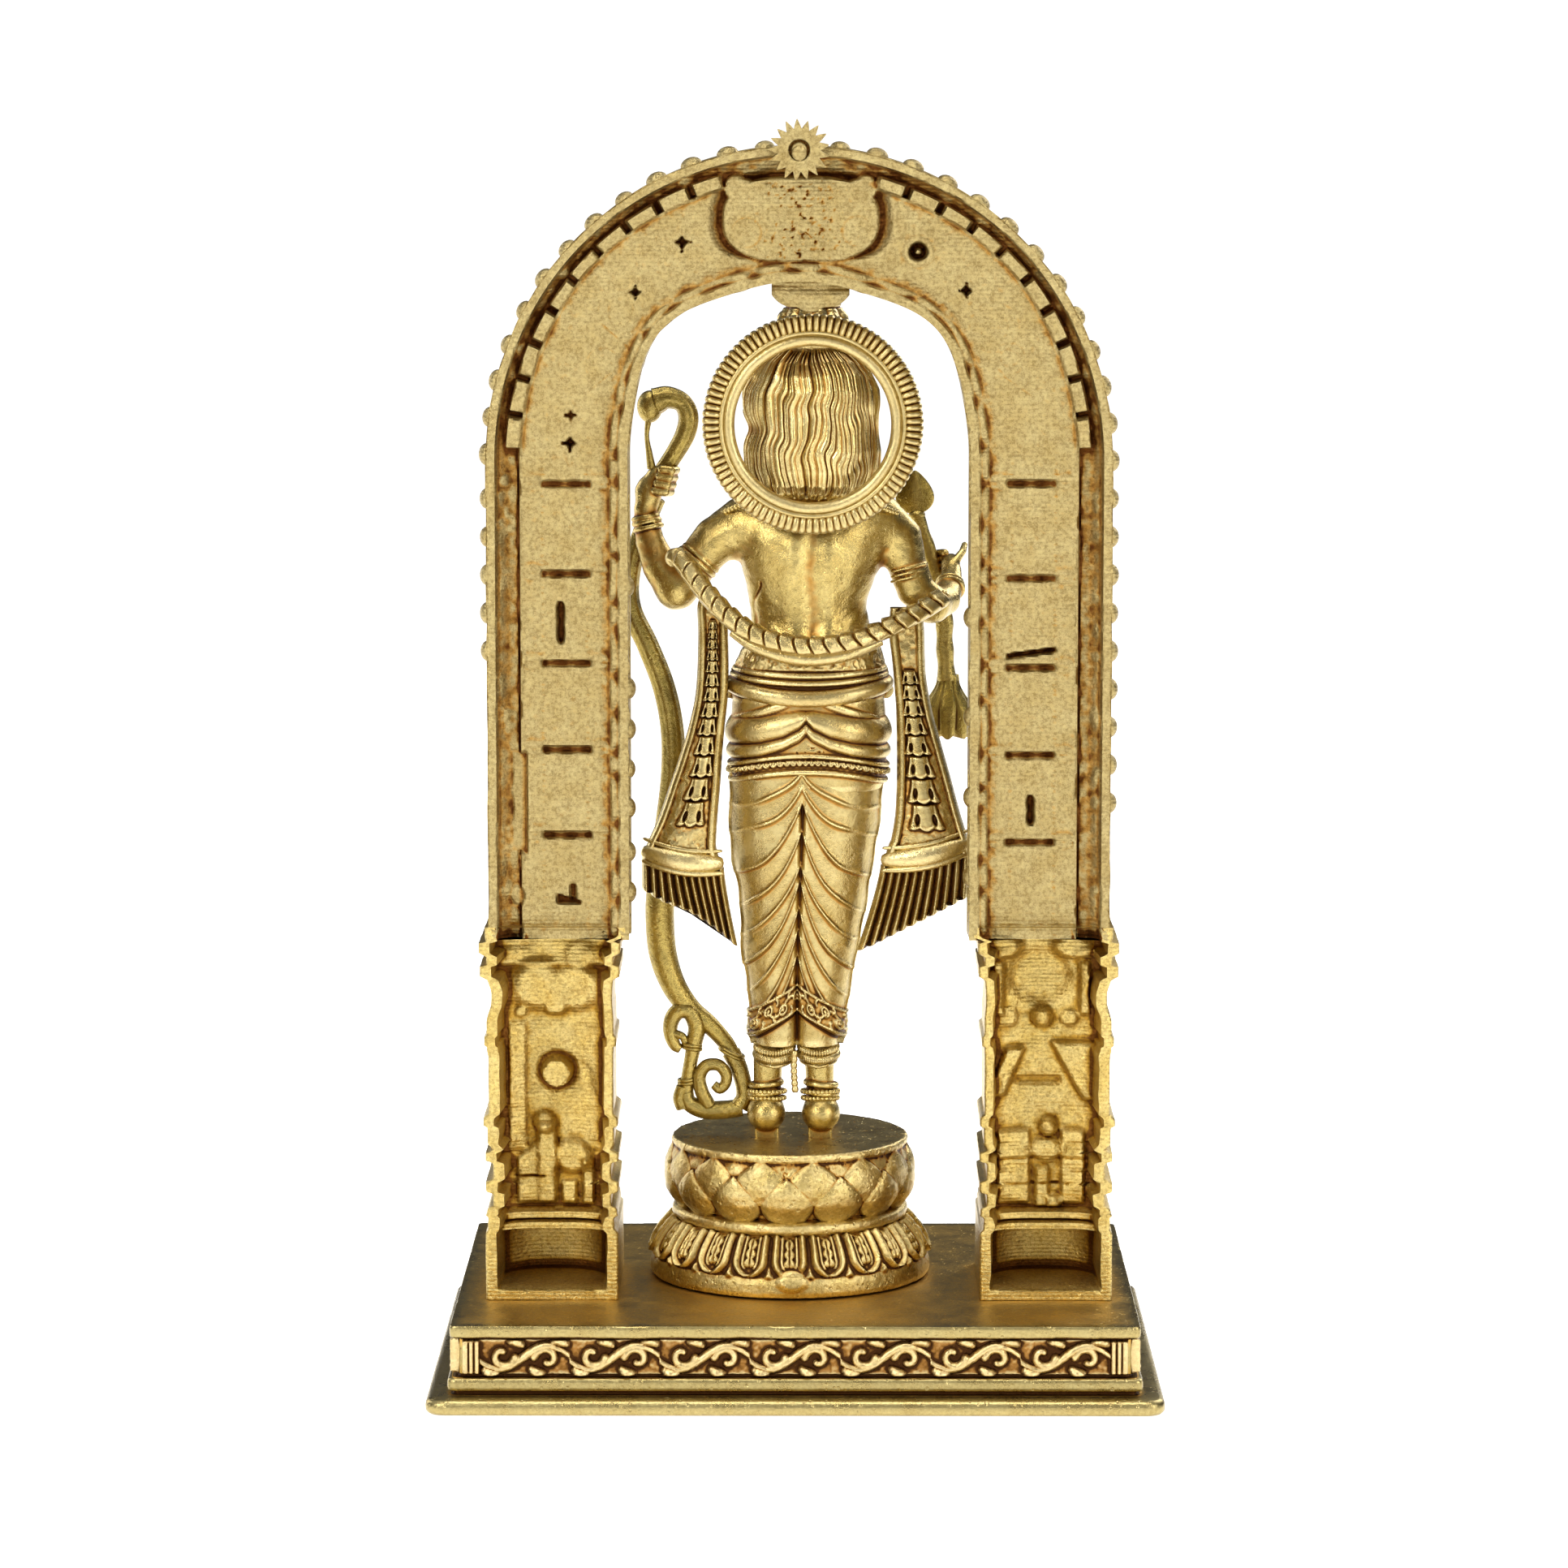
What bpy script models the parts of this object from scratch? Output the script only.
"""Brass archer figure on a double lotus, framed by a hollow-backed arch on a stepped plinth.

Lengths below are millimetres and are scaled to metres where meshes are made.
The figure faces -Y, its back and the open back of the arch face +Y, and Z is up.
"""

import math

import bmesh
import bpy
from mathutils import Vector

MM = 0.001
GAP = 0.3

# Plinth
SLAB_X = 95.2
SLAB_Y = 70.2
SLAB_Z = 2.1
STEP_X = 89.6
STEP_Y = 64.6
STEP_Z0 = 2.6
STEP_Z1 = 4.35
CORE_X = 86.8
CORE_Y = 61.8
PLATE_X = 89.0
PLATE_Y = 64.0
PLATE_Z0 = 9.6
PLATE_Z1 = 11.2
CEILING_Z = 8.9

# Arch
ARCH_X = -0.45
ARCH_BACK = 16.8
ARCH_FRONT = 8.2
ARCH_R_OUT = 40.4
ARCH_R_IN = 22.1
ARCH_SPRING = 121.3
RIM_OUT = 1.2
RIM_IN = 1.0
PANEL_R0 = 24.65
PANEL_R1 = 35.75
PANEL_FACE = 15.0
RECESS_FLOOR = 11.4
LEG_TOP = 60.7
LEG_FRONT = 1.8
FOOT_FRONT = -6.0
LEG_CENTRE = 31.4
ARC_STEPS = 24

# Sun finial
SUN_Z = 161.2
SUN_TIP = 4.1
SUN_ROOT = 3.0
SUN_RAYS = 16
RIVET_R = 1.0

# Lotus pedestal
LOTUS_X = 0.8
LOTUS_Y = -1.6
LOTUS_TOP = 29.9

# Halo
HALO_X = -2.2
HALO_Y = 8.2
HALO_Z = 125.7
HALO_RIM_R = 14.4
HALO_RING_R = 11.0
HALO_RIBS = 46

# Screws from below: name, x, y, shank radius, tip height
SCREWS = (
    ("arch_screw_left", ARCH_X + LEG_CENTRE, -2.2, 1.5, 19.2),
    ("arch_screw_right", ARCH_X - LEG_CENTRE, -2.2, 1.5, 19.2),
    ("pedestal_screw", LOTUS_X, LOTUS_Y, 2.0, 23.3),
)

# Tenons under the heels
TENON = 3.3
FOOT_X = (4.2, -3.6)


def clear_scene():
    for obj in list(bpy.data.objects):
        bpy.data.objects.remove(obj, do_unlink=True)


def material(name, colour, roughness):
    mat = bpy.data.materials.new(name)
    mat.use_nodes = True
    shader = mat.node_tree.nodes["Principled BSDF"]
    shader.inputs["Base Color"].default_value = (*colour, 1.0)
    shader.inputs["Metallic"].default_value = 1.0
    shader.inputs["Roughness"].default_value = roughness
    return mat


def brass(name, roughness=0.42, warm=0.0):
    colour = (0.62 + 0.05 * warm, 0.47 - 0.02 * warm, 0.20 - 0.03 * warm)
    return material(name + "_brass", colour, roughness)


def steel(name):
    return material(name + "_steel", (0.56, 0.57, 0.58), 0.38)


def to_object(name, bm, mat, helper=False):
    """Turns a bmesh in millimetres into an object in metres."""
    bmesh.ops.recalc_face_normals(bm, faces=bm.faces)
    bmesh.ops.scale(bm, vec=(MM, MM, MM), verts=bm.verts)
    mesh = bpy.data.meshes.new(name)
    bm.to_mesh(mesh)
    bm.free()
    obj = bpy.data.objects.new(name, mesh)
    bpy.context.scene.collection.objects.link(obj)
    if helper:
        obj.hide_render = True
        obj.display_type = "WIRE"
        return obj
    mesh.materials.append(mat)
    mesh.polygons.foreach_set("use_smooth", [True] * len(mesh.polygons))
    mesh.set_sharp_from_angle(angle=math.radians(38))
    return obj


def combine(base, others, operation):
    """Adds an exact Boolean for each helper."""
    for other in others:
        boolean = base.modifiers.new(operation.lower() + "_" + other.name, "BOOLEAN")
        boolean.operation = operation
        boolean.solver = "EXACT"
        boolean.object = other
    return base


def loft(bm, loops):
    """Skins closed loops of equal length and caps both ends."""
    rings = [[bm.verts.new(p) for p in loop] for loop in loops]
    for low, high in zip(rings, rings[1:]):
        count = len(low)
        for i in range(count):
            j = (i + 1) % count
            bm.faces.new((low[i], low[j], high[j], high[i]))
    bm.faces.new(rings[0][::-1])
    bm.faces.new(rings[-1])
    return bm


def lofted(loops):
    return loft(bmesh.new(), loops)


def ellipse(x, y, z, rx, ry, count=24, power=1.0):
    """One horizontal loop; a power under 1 squares it up."""
    points = []
    for i in range(count):
        a = 2 * math.pi * i / count
        c = math.cos(a)
        s = math.sin(a)
        px = math.copysign(abs(c) ** power, c)
        py = math.copysign(abs(s) ** power, s)
        points.append((x + rx * px, y + ry * py, z))
    return points


def rounded_rectangle(x, y, z, half_x, half_y, radius, per_corner=3):
    points = []
    corners = ((1, 1, 0), (-1, 1, 90), (-1, -1, 180), (1, -1, 270))
    for sx, sy, start in corners:
        for i in range(per_corner):
            a = math.radians(start + 90 * i / (per_corner - 1))
            px = x + sx * (half_x - radius) + radius * math.cos(a)
            py = y + sy * (half_y - radius) + radius * math.sin(a)
            points.append((px, py, z))
    return points


def box(x0, x1, y0, y1, z0, z1):
    loops = []
    for z in (z0, z1):
        loops.append([(x0, y0, z), (x1, y0, z), (x1, y1, z), (x0, y1, z)])
    return lofted(loops)


def sweep(path, sides=10, flat=1.0, facing=(0, 1, 0)):
    """Tube through (x, y, z, radius) points; flat scales it along the facing direction."""
    points = [Vector(p[:3]) for p in path]
    loops = []
    for i, point in enumerate(points):
        before = points[max(i - 1, 0)]
        after = points[min(i + 1, len(points) - 1)]
        along = (after - before).normalized()
        across = along.cross(Vector(facing)).normalized()
        depth = across.cross(along).normalized()
        loop = []
        for k in range(sides):
            a = 2 * math.pi * k / sides
            offset = across * math.cos(a) + depth * (math.sin(a) * flat)
            loop.append(point + offset * path[i][3])
        loops.append(loop)
    return lofted(loops)


def smooth_path(knots, per_span=5):
    """Catmull-Rom curve through (x, y, z, radius) knots."""
    ends = [knots[0]] + list(knots) + [knots[-1]]
    out = []
    for i in range(1, len(ends) - 2):
        for k in range(per_span):
            t = k / per_span
            point = []
            for a, b, c, d in zip(*ends[i - 1:i + 3]):
                value = 2 * b + (c - a) * t
                value += (2 * a - 5 * b + 4 * c - d) * t * t
                value += (3 * b - a - 3 * c + d) * t * t * t
                point.append(value / 2)
            out.append(tuple(point))
    out.append(tuple(knots[-1]))
    return out


def lathe(profile, x, y, count=48, wave=None):
    """Solid of revolution about a vertical axis from (radius, z) pairs."""
    loops = []
    for radius, z in profile:
        loop = []
        for i in range(count):
            a = 2 * math.pi * i / count
            r = radius + (wave(a, z) if wave else 0.0)
            loop.append((x + r * math.cos(a), y + r * math.sin(a), z))
        loops.append(loop)
    return lofted(loops)


def disc_along_y(x, y0, y1, z, radius, count=32):
    """Short cylinder whose axis runs along Y."""
    loops = []
    for y in (y0, y1):
        loop = []
        for i in range(count):
            a = 2 * math.pi * i / count
            loop.append((x + radius * math.cos(a), y, z + radius * math.sin(a)))
        loops.append(loop)
    return lofted(loops)


def ball(x, y, z, rx, ry, rz, rings=10, count=18):
    """Ellipsoid with small flat poles."""
    profile = []
    for i in range(rings + 1):
        a = -80 + 160 * i / rings
        profile.append((math.cos(math.radians(a)), math.sin(math.radians(a))))
    loops = []
    for radius, height in profile:
        loops.append(ellipse(x, y, z + rz * height, rx * radius, ry * radius, count))
    return lofted(loops)


def arch_sweep(section, z_foot):
    """Carries a (radius, y) section up one leg, round the top and down the other leg."""
    stations = [(0.0, z_foot - ARCH_SPRING)]
    stations += [(math.pi * i / ARC_STEPS, 0.0) for i in range(ARC_STEPS + 1)]
    stations += [(math.pi, z_foot - ARCH_SPRING)]
    loops = []
    for angle, drop in stations:
        loop = []
        for r, y in section:
            x = ARCH_X + r * math.cos(angle)
            z = ARCH_SPRING + r * math.sin(angle) + drop
            loop.append((x, y, z))
        loops.append(loop)
    return lofted(loops)


# Plinth


def make_plinth():
    """Hollow stepped plinth, open below, skinned from its ceiling down and up round the outside."""
    levels = (
        (SLAB_X - 10.4, SLAB_Y - 10.4, CEILING_Z),
        (SLAB_X - 10.4, SLAB_Y - 10.4, 0.4),
        (SLAB_X - 9.6, SLAB_Y - 9.6, 0.0),
        (SLAB_X - 1.2, SLAB_Y - 1.2, 0.0),
        (SLAB_X, SLAB_Y, 0.6),
        (SLAB_X, SLAB_Y, SLAB_Z - 0.5),
        (SLAB_X - 1.0, SLAB_Y - 1.0, SLAB_Z),
        (STEP_X - 1.2, STEP_Y - 1.2, SLAB_Z + 0.1),
        (STEP_X - 1.2, STEP_Y - 1.2, STEP_Z0),
        (STEP_X, STEP_Y, STEP_Z0 + 0.2),
        (STEP_X, STEP_Y, STEP_Z1 - 0.2),
        (STEP_X - 0.4, STEP_Y - 0.4, STEP_Z1),
        (CORE_X, CORE_Y, STEP_Z1),
        (CORE_X, CORE_Y, PLATE_Z0),
        (PLATE_X - 0.2, PLATE_Y - 0.2, PLATE_Z0),
        (PLATE_X, PLATE_Y, PLATE_Z0 + 0.3),
        (PLATE_X, PLATE_Y, PLATE_Z1 - 0.3),
        (PLATE_X - 0.6, PLATE_Y - 0.6, PLATE_Z1),
    )
    loops = [rounded_rectangle(0, 0, z, x / 2, y / 2, 1.4) for x, y, z in levels]
    plinth = to_object("plinth", lofted(loops), brass("plinth", 0.45))
    holes = []
    for name, x, y, radius, _ in SCREWS:
        cut = lathe(((radius + GAP, 7.0), (radius + GAP, 13.0)), x, y, 24)
        holes.append(to_object(name + "_hole", cut, None, helper=True))
    return combine(plinth, holes, "DIFFERENCE")


def make_screw(name, x, y, radius, tip):
    """Pan-head screw that points up, with a slot across its head."""
    top = 7.7
    head = radius * 1.9
    profile = (
        (head - 0.6, top - 2.2),
        (head, top - 1.6),
        (head, top),
        (radius, top),
        (radius, tip - 0.8),
        (radius - 0.5, tip),
    )
    screw = to_object(name, lathe(profile, x, y, 16), steel(name))
    slot = box(x - 5, x + 5, y - 0.4, y + 0.4, 4.0, top - 1.3)
    combine(screw, [to_object(name + "_slot", slot, None, helper=True)], "DIFFERENCE")


def make_washer(name, x, y, radius):
    inner = radius + GAP
    outer = radius * 2.3
    count = 18
    loops = []
    for i in range(count):
        a = 2 * math.pi * i / count
        c = math.cos(a)
        s = math.sin(a)
        section = ((inner, 8.0), (outer, 8.0), (outer, 8.6), (inner, 8.6))
        loops.append([(x + r * c, y + r * s, z) for r, z in section])
    to_object(name, closed_ring(loops), steel(name))


def closed_ring(loops):
    """Skins cross-sections all the way round, back to the first."""
    bm = bmesh.new()
    rings = [[bm.verts.new(p) for p in loop] for loop in loops]
    count = len(loops[0])
    for low, high in zip(rings, rings[1:] + rings[:1]):
        for i in range(count):
            j = (i + 1) % count
            bm.faces.new((low[i], low[j], high[j], high[i]))
    return bm


def make_frieze(name, along_x, side, length):
    """Scroll strip set in the recess: a thin back with two rails, end blocks and S-shaped stems."""
    depth0 = (CORE_Y if along_x else CORE_X) / 2 + GAP
    z0 = STEP_Z1 + GAP
    z1 = PLATE_Z0 - GAP

    def place(u, d, z):
        return (u, side * (depth0 + d), z) if along_x else (side * (depth0 + d), u, z)

    def bar(u0, u1, d0, d1, za, zb):
        loops = []
        for u in (u0, u1):
            section = ((d0, za), (d1, za), (d1, zb), (d0, zb))
            loops.append([place(u, d, z) for d, z in section])
        return lofted(loops)

    half = length / 2
    strip = to_object(name, bar(-half, half, 0.0, 0.3, z0, z1), brass(name, 0.5, 0.5))
    extras = [bar(-half + 0.1, half - 0.1, 0.1, 0.62, z0 + 0.06, z0 + 0.56)]
    extras.append(bar(-half + 0.1, half - 0.1, 0.1, 0.62, z1 - 0.56, z1 - 0.06))
    extras.append(bar(-half + 0.05, -half + 2.0, 0.14, 0.7, z0 + 0.03, z1 - 0.03))
    extras.append(bar(half - 2.0, half - 0.05, 0.14, 0.7, z0 + 0.03, z1 - 0.03))
    periods = round((length - 4) / 12.1)
    step = (length - 4) / periods
    mid = (z0 + z1) / 2
    for n in range(periods):
        start = -half + 2.0 + step * n
        flip = 1 if n % 2 else -1
        knots = []
        for t, height in ((0.06, -0.4), (0.2, 1.3), (0.42, 1.6), (0.6, 0.2), (0.8, -1.4), (0.94, -0.2)):
            x, y, z = place(start + step * t, 0.36, mid + flip * height)
            knots.append((x, y, z, 0.42))
        extras.append(sweep(smooth_path(knots, 2), 4, 1.0, (0, 1, 0) if along_x else (1, 0, 0)))
    helpers = []
    for i, bm in enumerate(extras):
        helpers.append(to_object("%s_detail_%d" % (name, i), bm, None, helper=True))
    combine(strip, helpers, "UNION")


# Arch


def leg_loops(side):
    """Lower leg of the arch, with its side mouldings, as (z, inner, outer, front) levels."""
    levels = (
        (PLATE_Z1 + GAP, 23.6, 40.6, FOOT_FRONT),
        (21.4, 23.6, 40.6, FOOT_FRONT),
        (21.6, 24.6, 39.8, LEG_FRONT),
        (24.6, 24.6, 39.8, LEG_FRONT),
        (24.8, 23.2, 41.0, LEG_FRONT - 0.8),
        (27.0, 23.2, 41.0, LEG_FRONT - 0.8),
        (27.2, 24.6, 39.8, LEG_FRONT),
        (32.6, 24.4, 40.0, LEG_FRONT),
        (32.8, 23.2, 41.0, LEG_FRONT - 0.8),
        (34.6, 23.2, 41.0, LEG_FRONT - 0.8),
        (34.8, 24.2, 40.4, LEG_FRONT),
        (45.8, 24.2, 40.4, LEG_FRONT + 0.6),
        (46.2, 23.4, 41.0, LEG_FRONT),
        (47.4, 23.4, 41.0, LEG_FRONT),
        (47.8, 24.2, 40.4, LEG_FRONT + 0.6),
        (54.4, 24.2, 40.4, LEG_FRONT + 1.2),
        (54.8, 23.0, 41.2, LEG_FRONT + 0.4),
        (56.2, 23.0, 41.2, LEG_FRONT + 0.4),
        (56.4, 24.0, 40.6, LEG_FRONT + 1.2),
        (58.0, 23.0, 41.2, LEG_FRONT + 0.8),
        (59.4, 22.6, 41.2, LEG_FRONT + 2.0),
    )
    back = ARCH_BACK - 0.15
    loops = []
    for z, inner, outer, front in levels:
        a = ARCH_X + side * inner
        b = ARCH_X + side * outer
        loops.append([(a, front, z), (b, front, z), (b, back, z), (a, back, z)])
    return loops


def make_arch():
    section = (
        (ARCH_R_OUT, ARCH_FRONT), (ARCH_R_OUT, ARCH_BACK),
        (ARCH_R_OUT - RIM_OUT, ARCH_BACK), (ARCH_R_OUT - RIM_OUT, RECESS_FLOOR),
        (PANEL_R1, RECESS_FLOOR), (PANEL_R1, PANEL_FACE),
        (PANEL_R0, PANEL_FACE), (PANEL_R0, RECESS_FLOOR),
        (ARCH_R_IN + RIM_IN, RECESS_FLOOR), (ARCH_R_IN + RIM_IN, ARCH_BACK),
        (ARCH_R_IN, ARCH_BACK), (ARCH_R_IN, ARCH_FRONT),
    )
    arch = to_object("arch", arch_sweep(section, LEG_TOP - 3.0), brass("arch", 0.45))
    added = []
    for side, tag in ((1, "left"), (-1, "right")):
        added.append(to_object("arch_leg_" + tag, lofted(leg_loops(side)), None, helper=True))
    pad = disc_along_y(ARCH_X, ARCH_FRONT + 0.5, ARCH_BACK - 0.07, SUN_Z - 0.4, 2.6, 22)
    added.append(to_object("arch_rivet_pad", pad, None, helper=True))
    middle = (PANEL_R0 + PANEL_R1) / 2
    spots = []
    for angle in (18, 54, 90, 126, 162):
        a = math.radians(angle)
        spots.append((ARCH_X + middle * math.cos(a), ARCH_SPRING + middle * math.sin(a)))
    for n in range(4):
        spots.append((ARCH_X + middle, 70.5 + 13.2 * n))
        spots.append((ARCH_X - middle, 70.5 + 13.2 * n))
    for n, (x, z) in enumerate(spots):
        rosette = disc_along_y(x, 6.9, ARCH_FRONT + 0.6, z, 4.4, 12)
        added.append(to_object("arch_rosette_%d" % n, rosette, None, helper=True))
    combine(arch, added, "UNION")
    cuts = []
    for side, tag in ((1, "left"), (-1, "right")):
        a = ARCH_X + side * 25.4
        b = ARCH_X + side * 38.9
        back = ARCH_BACK + 1
        loops = []
        for z in (12.9, LEG_TOP - 0.4):
            loops.append([(a, 5.0, z), (b, 5.0, z), (b, back, z), (a, back, z)])
        cuts.append(to_object("arch_pocket_" + tag, lofted(loops), None, helper=True))
    for name, x, y, radius, _ in SCREWS[:2]:
        bore = lathe(((radius + GAP, 10.0), (radius + GAP, 19.5)), x, y, 24)
        cuts.append(to_object(name + "_bore", bore, None, helper=True))
    rivet = disc_along_y(ARCH_X, 12.0, ARCH_BACK + 2, SUN_Z - 0.4, RIVET_R + 0.2, 24)
    cuts.append(to_object("arch_rivet_hole", rivet, None, helper=True))
    combine(arch, cuts, "DIFFERENCE")


def make_sun():
    count = SUN_RAYS * 2
    loops = []
    for y in (ARCH_BACK + GAP, ARCH_BACK + GAP + 1.4):
        loop = []
        for i in range(count):
            a = 2 * math.pi * (i + 0.5) / count
            r = SUN_TIP if i % 2 == 0 else SUN_ROOT
            a += 0.06 if i % 2 == 0 else 0.0
            loop.append((ARCH_X + r * math.sin(a), y, SUN_Z + r * math.cos(a)))
        loops.append(loop)
    sun = to_object("sun_finial", lofted(loops), brass("sun_finial", 0.4))
    hole = disc_along_y(ARCH_X, ARCH_BACK - 1, ARCH_BACK + 4, SUN_Z - 0.4, RIVET_R + 0.2, 24)
    combine(sun, [to_object("sun_hole", hole, None, helper=True)], "DIFFERENCE")


def make_sun_rivet():
    z = SUN_Z - 0.4
    bm = disc_along_y(ARCH_X, 12.6, ARCH_BACK + GAP + 1.9, z, RIVET_R, 24)
    to_object("sun_rivet", bm, brass("sun_rivet", 0.35))


def make_keystone():
    """Drop-shaped boss under the crown of the arch."""
    loops = []
    for z, rx, ry in ((138.4, 1.6, 1.2), (139.6, 3.0, 1.9), (141.2, 4.2, 2.6), (142.1, 4.4, 2.8)):
        loops.append(ellipse(-1.9, 12.2, z, rx, ry, 20))
    to_object("keystone", lofted(loops), brass("keystone", 0.5, 0.6))


# Lotus pedestal


def pedestal_bore(name, top):
    cut = lathe(((2.0 + GAP, 10.0), (2.0 + GAP, top)), LOTUS_X, LOTUS_Y, 24)
    return to_object(name, cut, None, helper=True)


def make_lotus_base():
    def petals(a, z):
        if z < 14.3 or z > 18.2:
            return 0.0
        return 0.45 * abs(math.cos(10 * a)) - 0.3

    profile = (
        (18.4, PLATE_Z1 + GAP), (18.8, 11.9), (18.8, 14.0), (18.5, 14.35), (18.3, 14.6),
        (17.9, 15.6), (17.1, 16.8), (16.0, 17.8), (15.3, 18.3), (15.1, 18.6),
    )
    bm = lathe(profile, LOTUS_X, LOTUS_Y, 60, petals)
    base = to_object("lotus_base", bm, brass("lotus_base", 0.45, 0.4))
    combine(base, [pedestal_bore("lotus_base_bore", 19.5)], "DIFFERENCE")


def make_lotus_waist():
    profile = ((14.9, 18.9), (15.4, 19.1), (15.6, 19.5), (15.5, 19.9), (15.0, 20.2))
    bm = lathe(profile, LOTUS_X, LOTUS_Y, 40)
    waist = to_object("lotus_waist_ring", bm, brass("lotus_waist_ring", 0.42))
    combine(waist, [pedestal_bore("lotus_waist_bore", 21.5)], "DIFFERENCE")


def make_lotus_seat():
    def petals(a, z):
        if z < 21.4 or z > 28.4:
            return 0.0
        row = 0.0 if z < 25.4 else 0.5
        return 0.55 * abs(math.cos(7 * a + math.pi * row)) - 0.4

    profile = (
        (15.0, 20.5), (15.3, 21.0), (15.8, 22.0), (16.5, 23.2), (16.8, 24.4), (16.5, 25.3),
        (16.4, 25.5), (16.6, 26.4), (16.1, 27.6), (15.3, 28.5), (15.7, 28.9), (15.7, LOTUS_TOP),
    )
    bm = lathe(profile, LOTUS_X, LOTUS_Y, 56, petals)
    seat = to_object("lotus_seat", bm, brass("lotus_seat", 0.42))
    cuts = [pedestal_bore("lotus_seat_bore", 23.6)]
    for tag, x in zip(("left", "right"), FOOT_X):
        half = TENON / 2 + GAP
        socket = box(x - half, x + half, -half + 0.3, half + 0.3, 25.2, LOTUS_TOP + 2)
        cuts.append(to_object("socket_" + tag, socket, None, helper=True))
    combine(seat, cuts, "DIFFERENCE")


# Figure


def make_foot(tag, x):
    """Foot, ankle with its anklets, and the square tenon under the heel."""
    side = 1 if tag == "left" else -1
    name = "foot_" + tag
    splay = 0.9 * side
    ankle = lathe(
        (
            (2.0, 31.6), (2.5, 32.6), (3.4, 33.2), (3.6, 34.2), (3.4, 35.0), (2.5, 35.4),
            (2.4, 38.6), (3.3, 39.4), (3.4, 41.2), (3.0, 42.0),
        ),
        x, 0.6, 18,
    )
    foot = to_object(name, ankle, brass(name, 0.4))
    loops = []
    for y, half, top, shift in (
        (2.9, 1.2, 33.0, 0.0), (2.3, 2.0, 34.0, 0.0), (0.6, 2.3, 34.6, 0.0), (-2.5, 2.4, 34.2, 0.2),
        (-6.0, 2.8, 33.2, 0.6), (-9.0, 3.1, 32.4, 0.9), (-10.8, 2.6, 32.0, 1.0), (-11.6, 1.6, 31.7, 1.0),
    ):
        cx = x + splay * shift
        low = 30.9
        mid = (low + top) / 2
        loop = []
        for k in range(12):
            a = 2 * math.pi * k / 12
            height = (top - low) / 2
            loop.append((cx + half * math.cos(a), y, mid + height * math.sin(a)))
        loops.append(loop)
    sole = to_object(name + "_sole", lofted(loops), None, helper=True)
    half = TENON / 2
    peg = box(x - half, x + half, -half + 0.3, half + 0.3, 25.6, 32.4)
    tenon = to_object(name + "_tenon", peg, None, helper=True)
    combine(foot, [sole, tenon], "UNION")


def make_dhoti():
    """Pleated wrap round both legs."""
    levels = (
        (42.3, -0.1, 6.2, 5.2), (44.0, -0.15, 6.4, 5.4), (48.0, -0.3, 6.6, 5.7),
        (55.1, -0.45, 7.6, 6.3), (62.1, -0.9, 8.4, 7.0), (67.5, -1.0, 9.4, 7.6),
        (73.0, -1.2, 10.0, 8.0), (77.0, -1.35, 10.2, 8.2),
    )
    loops = []
    for z, x, rx, ry in levels:
        loop = []
        for px, py, pz in ellipse(x, -0.8, z, rx, ry, 32, 0.85):
            groove = 1.3 * math.exp(-((px - x) / 1.2) ** 2)
            py -= math.copysign(groove, py + 0.8)
            loop.append((px, py, pz))
        loops.append(loop)
    to_object("dhoti", lofted(loops), brass("dhoti", 0.42))


def make_hip_wrap():
    """Bordered cloth and folds across the hips."""
    levels = (
        (77.3, -1.4, 10.5, 8.6), (78.0, -1.5, 10.9, 9.0), (80.6, -1.6, 10.9, 9.0),
        (81.2, -1.6, 10.3, 8.5), (83.5, -1.7, 10.7, 8.8), (85.5, -1.7, 10.2, 8.3),
        (87.5, -1.8, 10.4, 8.4), (88.2, -1.8, 10.0, 8.0),
    )
    loops = [ellipse(x, -0.6, z, rx, ry, 28) for z, x, rx, ry in levels]
    to_object("hip_wrap", lofted(loops), brass("hip_wrap", 0.42))


def make_sash():
    """Rolled sash and belt above the hips."""
    levels = (
        (88.5, -1.8, 10.1, 8.0), (89.0, -1.8, 10.7, 8.6), (90.6, -1.8, 10.7, 8.6),
        (91.0, -1.9, 10.1, 8.0), (92.2, -1.9, 10.2, 8.0), (93.6, -2.0, 9.3, 7.3),
        (95.4, -2.1, 8.8, 6.8),
    )
    loops = [ellipse(x, -0.4, z, rx, ry, 28) for z, x, rx, ry in levels]
    to_object("waist_sash", lofted(loops), brass("waist_sash", 0.42))


def make_torso():
    levels = (
        (95.7, -2.05, 8.5, 6.3, 0.0), (99.2, -1.9, 7.8, 5.8, 0.3), (103.0, -2.0, 8.8, 6.2, 0.4),
        (106.5, -2.1, 9.9, 6.4, 0.4), (109.5, -2.2, 11.4, 6.1, 0.5), (111.6, -2.2, 11.3, 5.4, 0.6),
        (113.2, -2.2, 8.6, 4.8, 0.6), (114.2, -2.1, 5.0, 4.2, 0.3), (115.2, -2.1, 3.5, 3.5, 0.0),
        (117.4, -2.1, 3.2, 3.3, -0.2),
    )
    loops = [ellipse(x, y, z, rx, ry, 26) for z, x, rx, ry, y in levels]
    to_object("torso", lofted(loops), brass("torso", 0.38))


def make_head():
    head = ball(-2.1, -2.2, 125.0, 6.3, 6.6, 7.2, 10, 20)
    obj = to_object("head", head, brass("head", 0.38))
    nose = ball(-2.1, -8.7, 124.0, 0.9, 1.3, 1.6, 6, 12)
    added = [to_object("head_nose", nose, None, helper=True)]
    for side in (1, -1):
        ear = ball(-2.1 + side * 6.3, -2.4, 124.2, 1.0, 1.5, 2.4, 6, 12)
        added.append(to_object("head_ear_%d" % side, ear, None, helper=True))
    combine(obj, added, "UNION")


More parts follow.
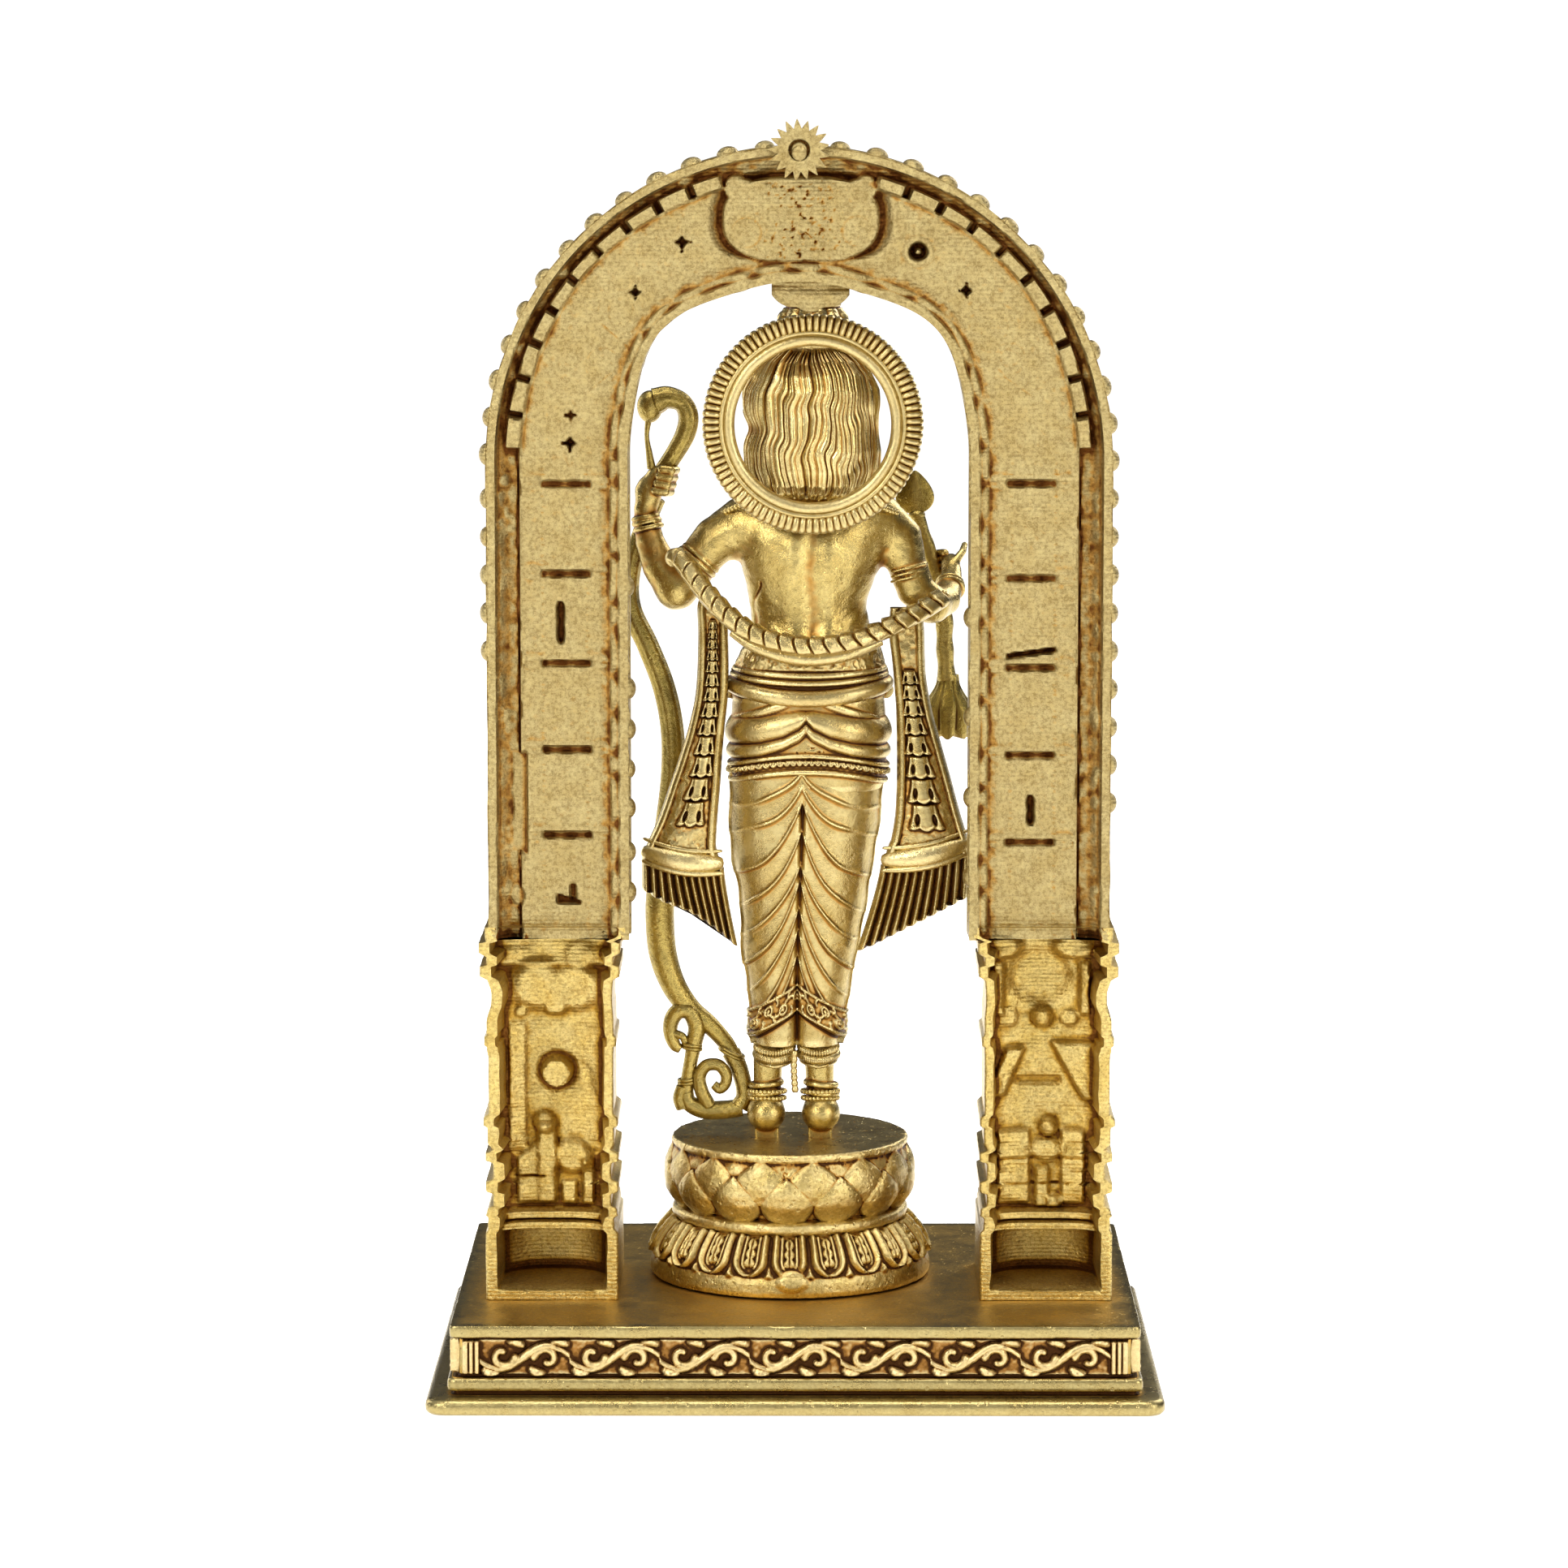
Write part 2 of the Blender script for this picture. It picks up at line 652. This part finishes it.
def make_hair():
    outer = ball(-2.1, -0.4, 125.3, 8.5, 7.2, 10.0, 12, 24)
    hair = to_object("hair", outer, brass("hair", 0.45))
    rooms = (
        ("hair_skull_room", ball(-2.1, -2.2, 125.0, 6.65, 6.95, 7.55, 10, 20)),
        ("hair_front", box(-12, 8, -12, -3.0, 112, 130.6)),
        ("hair_ears", box(-12, 8, -5, 0.2, 120.4, 127.6)),
        ("hair_neck", lathe(((4.0, 110), (4.0, 119.5)), -2.1, -0.2, 24)),
    )
    cuts = [to_object(name, bm, None, helper=True) for name, bm in rooms]
    combine(hair, cuts, "DIFFERENCE")


def make_crown():
    profile = (
        (5.2, 135.5), (5.6, 136.2), (5.2, 136.9), (4.6, 138.0),
        (4.0, 139.4), (2.7, 140.6), (2.2, 141.3), (1.0, 141.9),
    )

    def lobes(a, z):
        return 0.25 * math.cos(8 * a)

    to_object("crown", lathe(profile, -2.2, -1.8, 32, lobes), brass("crown", 0.42, 0.4))


def make_halo_ring():
    loops = []
    for i in range(48):
        a = 2 * math.pi * i / 48
        loop = []
        for k in range(8):
            b = 2 * math.pi * k / 8
            r = HALO_RING_R + 0.8 * math.cos(b)
            loop.append((HALO_X + r * math.cos(a), HALO_Y + 0.8 * math.sin(b), HALO_Z + r * math.sin(a)))
        loops.append(loop)
    to_object("halo_ring", closed_ring(loops), brass("halo_ring", 0.4))


def make_halo_rim():
    loops = []
    count = HALO_RIBS * 2
    for i in range(count):
        a = 2 * math.pi * i / count
        rise = 0.7 if i % 2 else 0.35
        section = (
            (12.1, -0.5), (HALO_RIM_R - 0.3, -0.6), (HALO_RIM_R, 0.0),
            (HALO_RIM_R - 0.3, rise), (12.1, rise),
        )
        loops.append([(HALO_X + r * math.cos(a), HALO_Y + d, HALO_Z + r * math.sin(a)) for r, d in section])
    to_object("halo_rim", closed_ring(loops), brass("halo_rim", 0.42))


def make_left_arm():
    knots = (
        (13.4, 0.6, 110.9, 2.0), (14.6, 1.0, 108.3, 2.7), (16.2, 1.2, 104.8, 2.4), (18.0, 0.8, 102.0, 2.3),
        (19.2, -0.6, 104.6, 2.1), (20.2, -2.0, 108.6, 1.8), (20.6, -3.0, 112.0, 1.5), (20.4, -3.4, 114.6, 1.7),
        (19.9, -3.2, 117.0, 1.7), (19.4, -2.8, 118.8, 1.0),
    )
    to_object("left_arm", sweep(smooth_path(knots, 3), 10), brass("left_arm", 0.4))


def make_right_arm():
    knots = (
        (-17.6, 0.6, 110.4, 2.0), (-18.2, 0.8, 108.0, 2.6), (-18.9, 1.0, 104.8, 2.3), (-19.6, 0.6, 102.2, 2.3),
        (-20.0, -3.0, 101.4, 2.0), (-20.6, -7.0, 101.8, 1.6), (-21.0, -9.6, 102.6, 1.8), (-21.2, -11.4, 103.2, 1.2),
    )
    to_object("right_arm", sweep(smooth_path(knots, 3), 10, 1.0, (1, 0, 0)), brass("right_arm", 0.4))


def make_garland():
    """Beaded garland that hangs across the back from elbow to elbow."""
    knots = (
        (16.2, 5.4, 107.6, 1.1), (13.4, 6.6, 103.9, 1.3), (9.7, 8.0, 100.4, 1.3), (5.9, 8.9, 98.2, 1.3),
        (1.6, 9.4, 97.0, 1.3), (-2.7, 9.4, 96.7, 1.3), (-7.7, 9.2, 97.3, 1.3), (-12.4, 8.3, 98.9, 1.3),
        (-16.7, 6.6, 100.9, 1.3), (-20.4, 4.6, 103.4, 1.1),
    )
    path = []
    for i, (x, y, z, r) in enumerate(smooth_path(knots, 4)):
        path.append((x, y, z, r * (1.0 if i % 2 else 0.85)))
    to_object("garland", sweep(path, 8), brass("garland", 0.42))


def shawl_end(name, levels):
    """Flat hanging cloth end as (z at inner edge, z at outer edge, inner x, outer x, y, thickness)."""
    loops = []
    for z_in, z_out, x_in, x_out, y, thick in levels:
        loop = []
        steps = 12
        for k in range(steps + 1):
            t = k / steps
            ripple = 0.35 * math.cos(k * math.pi)
            loop.append((x_in + (x_out - x_in) * t, y + thick / 2 + ripple, z_in + (z_out - z_in) * t))
        for k in range(steps, -1, -1):
            t = k / steps
            loop.append((x_in + (x_out - x_in) * t, y - thick / 2, z_in + (z_out - z_in) * t))
        loops.append(loop)
    to_object(name, lofted(loops), brass(name, 0.42, 0.3))


def make_shawl_left():
    shawl_end("shawl_left", (
        (99.2, 99.2, 9.8, 13.0, 3.6, 1.8), (95.0, 95.0, 9.2, 12.9, 3.8, 2.2),
        (90.2, 90.2, 9.3, 13.2, 3.8, 2.2), (85.2, 85.2, 9.9, 14.2, 3.8, 2.2),
        (78.0, 78.0, 10.2, 16.9, 3.8, 2.2), (71.6, 72.4, 10.6, 18.6, 3.8, 2.2),
        (70.4, 71.6, 9.9, 19.6, 3.8, 3.2), (66.9, 68.4, 9.7, 20.0, 3.8, 3.2),
        (66.3, 67.9, 9.8, 19.4, 3.8, 2.2), (56.4, 63.8, 8.2, 20.4, 4.2, 1.4),
    ))


def make_shawl_right():
    shawl_end("shawl_right", (
        (92.4, 92.4, -13.1, -14.8, 4.0, 1.8), (88.0, 88.6, -13.2, -17.4, 3.8, 2.2),
        (84.0, 84.4, -13.4, -19.1, 3.8, 2.2), (77.8, 77.8, -13.2, -20.6, 3.8, 2.2),
        (72.0, 72.4, -12.9, -22.2, 3.8, 2.2), (70.8, 71.4, -12.4, -23.0, 3.8, 3.2),
        (66.4, 68.0, -11.8, -23.0, 3.8, 3.2), (65.6, 67.4, -11.7, -22.6, 3.8, 2.2),
        (55.8, 62.9, -8.9, -22.7, 4.2, 1.4),
    ))


def make_necklace():
    """Two-strand collar resting on the chest."""
    loops = []
    for i in range(28):
        a = 2 * math.pi * i / 28
        drop = 0.35 * (1 - math.sin(a)) * 2.0
        loop = []
        for k in range(8):
            b = 2 * math.pi * k / 8
            r = 5.6 + 0.7 * math.cos(b)
            loop.append((-2.1 + r * math.cos(a), -0.1 + r * math.sin(a) * 0.95, 116.6 - drop + 0.7 * math.sin(b)))
        loops.append(loop)
    to_object("necklace", closed_ring(loops), brass("necklace", 0.42))


def make_bow():
    """Bow held upright on the left, with curled tips."""
    knots = (
        (19.8, -4.6, 126.4, 0.6), (19.9, -4.8, 128.2, 0.9), (17.9, -5.2, 129.1, 1.0), (15.2, -5.4, 128.2, 1.0),
        (14.7, -5.6, 125.6, 1.0), (16.0, -5.8, 121.8, 1.1), (17.6, -6.2, 118.0, 1.1), (19.6, -6.4, 113.0, 1.1),
        (21.4, -5.8, 107.0, 1.1), (21.8, -4.8, 101.4, 1.1), (20.2, -3.8, 96.4, 1.3), (18.2, -3.4, 91.6, 1.5),
        (16.6, -3.4, 85.6, 1.5), (16.2, -3.6, 78.6, 1.4), (17.0, -3.8, 70.4, 1.5), (17.4, -3.8, 62.0, 1.8),
        (16.6, -3.6, 55.0, 1.9), (14.9, -3.4, 50.2, 1.7), (12.2, -3.2, 46.0, 1.4), (10.0, -3.0, 42.6, 1.3),
        (8.9, -3.0, 39.2, 1.1), (8.9, -3.0, 35.6, 1.0), (10.4, -3.0, 33.2, 1.0), (13.4, -3.0, 33.5, 1.0),
        (14.7, -3.0, 35.6, 0.9), (14.6, -3.0, 38.6, 0.9), (14.8, -3.0, 41.8, 0.8), (15.6, -3.0, 44.2, 0.8),
        (16.8, -3.0, 44.0, 0.7), (16.9, -3.0, 42.2, 0.5),
    )
    to_object("bow", sweep(smooth_path(knots, 2), 8), brass("bow", 0.45, 0.4))


def make_arrow():
    """Arrow held point up, with a leaf head and ribbed fletching."""
    path = (
        (-16.2, -14.0, 118.2, 0.25), (-16.3, -14.0, 116.6, 1.3), (-16.6, -14.0, 114.6, 2.2), (-16.9, -14.0, 112.6, 1.2),
        (-17.0, -14.0, 112.2, 0.7), (-18.6, -14.0, 104.2, 0.65), (-19.4, -14.0, 98.0, 0.7), (-19.8, -14.0, 94.6, 1.1),
        (-19.9, -14.0, 93.6, 0.8), (-20.1, -14.0, 89.0, 0.9), (-20.3, -14.0, 87.6, 2.0), (-20.6, -14.0, 82.2, 2.1),
    )
    to_object("arrow", sweep(path, 10, 0.6), brass("arrow", 0.42))


def main():
    clear_scene()
    make_plinth()
    make_frieze("frieze_back", True, 1, CORE_X - 1)
    make_frieze("frieze_front", True, -1, CORE_X - 1)
    make_frieze("frieze_left", False, 1, CORE_Y - 1)
    make_frieze("frieze_right", False, -1, CORE_Y - 1)
    for name, x, y, radius, tip in SCREWS:
        make_screw(name, x, y, radius, tip)
        make_washer(name.replace("screw", "washer"), x, y, radius)
    make_arch()
    make_sun()
    make_sun_rivet()
    make_keystone()
    make_lotus_base()
    make_lotus_waist()
    make_lotus_seat()
    for tag, x in zip(("left", "right"), FOOT_X):
        make_foot(tag, x)
    make_dhoti()
    make_hip_wrap()
    make_sash()
    make_torso()
    make_head()
    make_hair()
    make_crown()
    make_halo_ring()
    make_halo_rim()
    make_left_arm()
    make_right_arm()
    make_garland()
    make_shawl_left()
    make_shawl_right()
    make_necklace()
    make_bow()
    make_arrow()


main()
